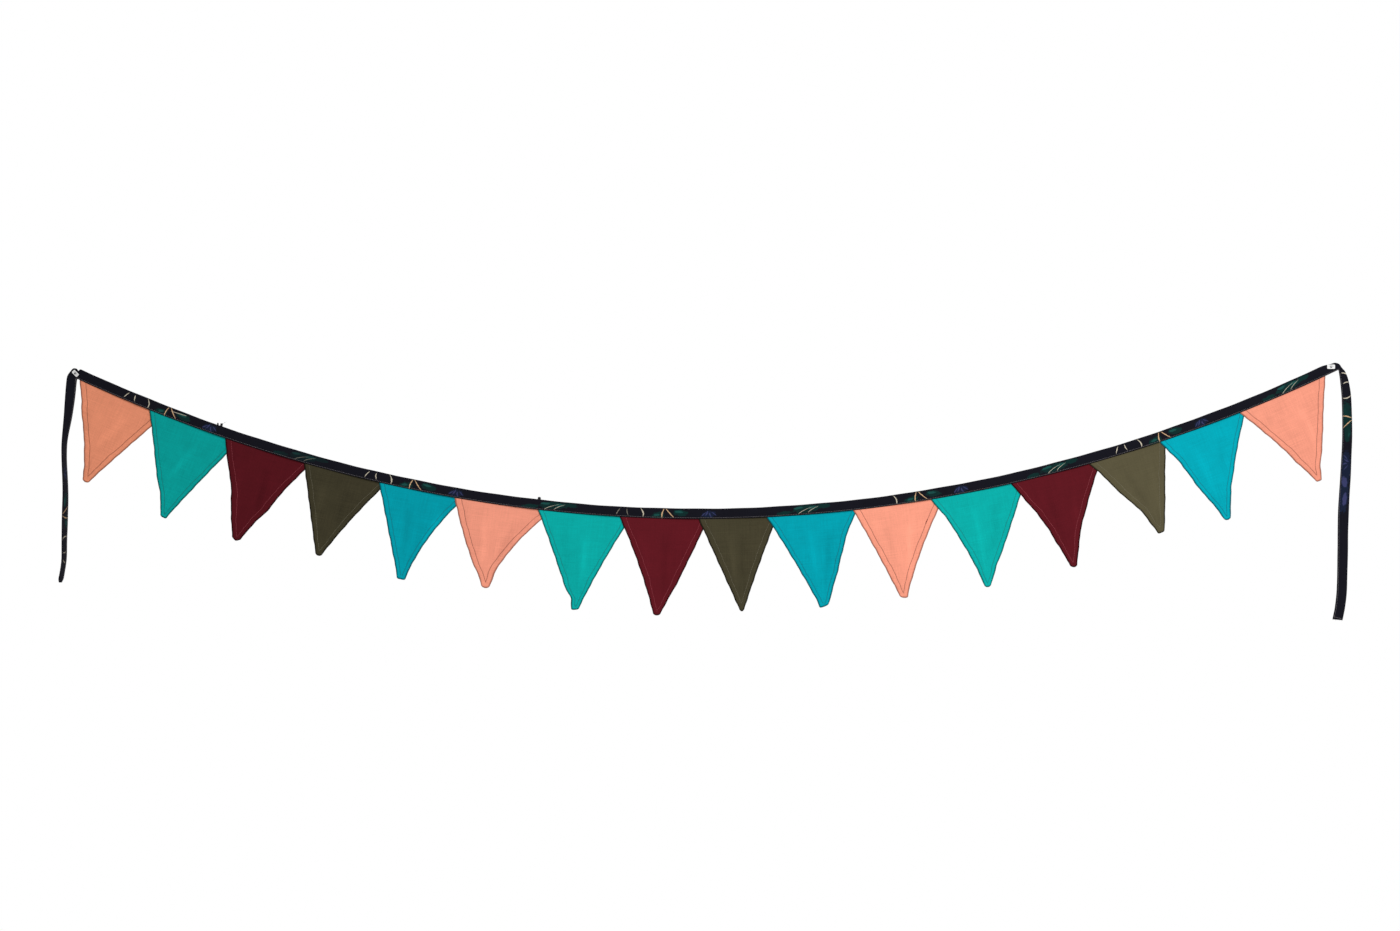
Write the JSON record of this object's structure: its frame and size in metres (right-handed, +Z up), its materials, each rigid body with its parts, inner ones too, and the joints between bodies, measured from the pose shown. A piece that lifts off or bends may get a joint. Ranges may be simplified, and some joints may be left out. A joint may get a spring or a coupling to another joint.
{
  "type": "fabric bunting with wall clips",
  "caption": "String of shingled triangular cloth pennants on a folded printed binding tape that ends in free hanging ties, held to a wall by a small clip at each end.",
  "frame": {"origin": "on the wall plane, halfway between the two clips", "axes": "+X to the right along the hang line, +Y into the wall, +Z up"},
  "size_m": [2.2618, 0.0185, 0.4506],
  "materials": {
    "printed_tape": "matt dark cotton tape printed with small sprigs",
    "peach_cotton": "matt plain-weave cotton, pressed and topstitched",
    "green_teal_cotton": "matt plain-weave cotton, pressed and topstitched",
    "maroon_cotton": "matt plain-weave cotton, pressed and topstitched",
    "olive_cotton": "matt plain-weave cotton, pressed and topstitched",
    "blue_teal_cotton": "matt plain-weave cotton, pressed and topstitched",
    "white_plastic": "smooth moulded plastic",
    "nail_steel": "plain steel"
  },
  "bodies": {
    "root": {"binding_tape": "printed_tape", "flag_01_peach": "peach_cotton", "flag_02_green_teal": "green_teal_cotton", "flag_03_maroon": "maroon_cotton", "flag_04_olive": "olive_cotton", "flag_05_blue_teal": "blue_teal_cotton", "flag_06_peach": "peach_cotton", "flag_07_green_teal": "green_teal_cotton", "flag_08_maroon": "maroon_cotton", "flag_09_olive": "olive_cotton", "flag_10_blue_teal": "blue_teal_cotton", "flag_11_peach": "peach_cotton", "flag_12_green_teal": "green_teal_cotton", "flag_13_maroon": "maroon_cotton", "flag_14_olive": "olive_cotton", "flag_15_blue_teal": "blue_teal_cotton", "flag_16_peach": "peach_cotton", "left_clip": "white_plastic", "left_nail": "nail_steel", "right_clip": "white_plastic", "right_nail": "nail_steel"}
  },
  "joints": []
}
